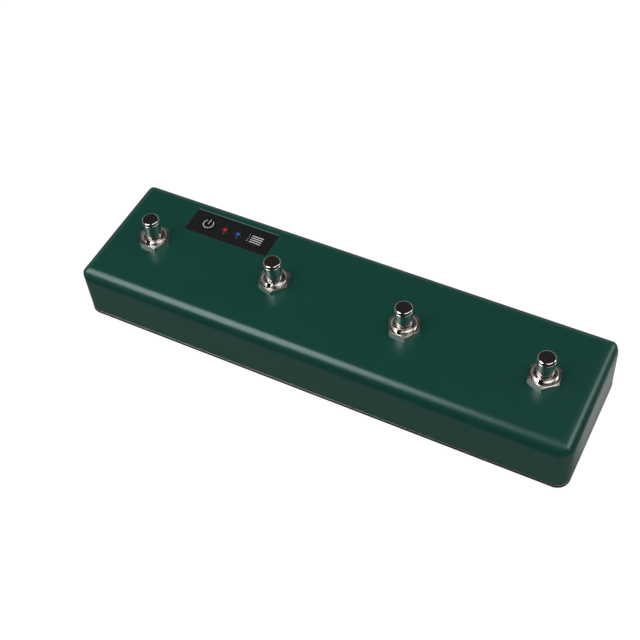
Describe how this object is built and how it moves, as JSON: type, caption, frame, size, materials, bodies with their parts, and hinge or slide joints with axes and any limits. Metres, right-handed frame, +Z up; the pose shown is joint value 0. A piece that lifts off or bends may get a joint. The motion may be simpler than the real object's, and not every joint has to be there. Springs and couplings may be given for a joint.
{
  "type": "wireless foot switch",
  "caption": "Wireless foot switch: momentary stomp switches in a long metal casing, with a recessed pocket for keys and lamps and a charging socket behind.",
  "frame": {"origin": "on the floor, under the middle of the casing", "axes": "+X along the casing to its right end as the player sees it, +Y to the rear, +Z up"},
  "size_m": [0.25, 0.067, 0.0442],
  "materials": {
    "green_coat": "satin powder coat, fine texture",
    "black_coat": "satin powder coat",
    "chrome": "polished",
    "nickel": "bright nickel plate",
    "steel": "zinc plated",
    "black_screw": "black oxide",
    "brass": "plain",
    "rubber": "matt",
    "overlay": "satin film",
    "key_black": "satin",
    "red_lens": "clear, lit red",
    "blue_lens": "clear, lit blue",
    "housing_black": "moulded",
    "phenolic": "laminate",
    "board_green": "solder mask",
    "chip_black": "moulded",
    "led_white": "clear",
    "tin": "tinned",
    "socket_white": "moulded",
    "pouch": "foil pouch",
    "foam": "foam tape",
    "lead_black": "flexible jacket"
  },
  "bodies": {
    "casing": {"top_case": "green_coat", "base_plate": "black_coat", "base_screws": "black_screw", "rubber_feet": "rubber", "control_label": "overlay", "tact_switches": "tin", "red_lamp_lens": "red_lens", "blue_lamp_lens": "blue_lens", "indicator_leds": "led_white", "main_board": "board_green", "board_screws": "steel", "radio_module": "board_green", "radio_shield": "tin", "board_chips": "chip_black", "usb_port": "tin", "battery": "pouch", "battery_pad": "foam", "battery_lead": "lead_black", "lead_plugs": "socket_white", "board_sockets": "socket_white", "lock_washers": "steel", "contact_lugs": "brass", "lead_1": "lead_black", "nut_1": "nickel", "bushing_1": "nickel", "spring_1": "steel", "housing_1": "housing_black", "contact_base_1": "phenolic", "lead_2": "lead_black", "nut_2": "nickel", "bushing_2": "nickel", "spring_2": "steel", "housing_2": "housing_black", "contact_base_2": "phenolic", "lead_3": "lead_black", "nut_3": "nickel", "bushing_3": "nickel", "spring_3": "steel", "housing_3": "housing_black", "contact_base_3": "phenolic", "lead_4": "lead_black", "nut_4": "nickel", "bushing_4": "nickel", "spring_4": "steel", "housing_4": "housing_black", "contact_base_4": "phenolic"},
    "foot_button_1": {"plunger_1": "chrome", "bridge_1": "brass"},
    "foot_button_2": {"plunger_2": "chrome", "bridge_2": "brass"},
    "foot_button_3": {"plunger_3": "chrome", "bridge_3": "brass"},
    "foot_button_4": {"plunger_4": "chrome", "bridge_4": "brass"},
    "power_key": {"power_button": "key_black", "power_tact_stem": "chip_black"},
    "mode_key": {"mode_button": "key_black", "mode_tact_stem": "chip_black"}
  },
  "joints": [
    {"name": "press_1", "type": "slide", "parent": "casing", "child": "foot_button_1", "axis": [0, 0, -1], "range_m": [0, 0.0025], "stiffness_N_per_m": 1500, "springref_m": -0.002, "deforming": ["spring_1"]},
    {"name": "press_2", "type": "slide", "parent": "casing", "child": "foot_button_2", "axis": [0, 0, -1], "range_m": [0, 0.0025], "stiffness_N_per_m": 1500, "springref_m": -0.002, "deforming": ["spring_2"]},
    {"name": "press_3", "type": "slide", "parent": "casing", "child": "foot_button_3", "axis": [0, 0, -1], "range_m": [0, 0.0025], "stiffness_N_per_m": 1500, "springref_m": -0.002, "deforming": ["spring_3"]},
    {"name": "press_4", "type": "slide", "parent": "casing", "child": "foot_button_4", "axis": [0, 0, -1], "range_m": [0, 0.0025], "stiffness_N_per_m": 1500, "springref_m": -0.002, "deforming": ["spring_4"]},
    {"name": "press_power", "type": "slide", "parent": "casing", "child": "power_key", "axis": [0, 0, -1], "range_m": [0, 0.0005], "stiffness_N_per_m": 3000, "springref_m": -0.0003},
    {"name": "press_mode", "type": "slide", "parent": "casing", "child": "mode_key", "axis": [0, 0, -1], "range_m": [0, 0.0005], "stiffness_N_per_m": 3000, "springref_m": -0.0003}
  ]
}
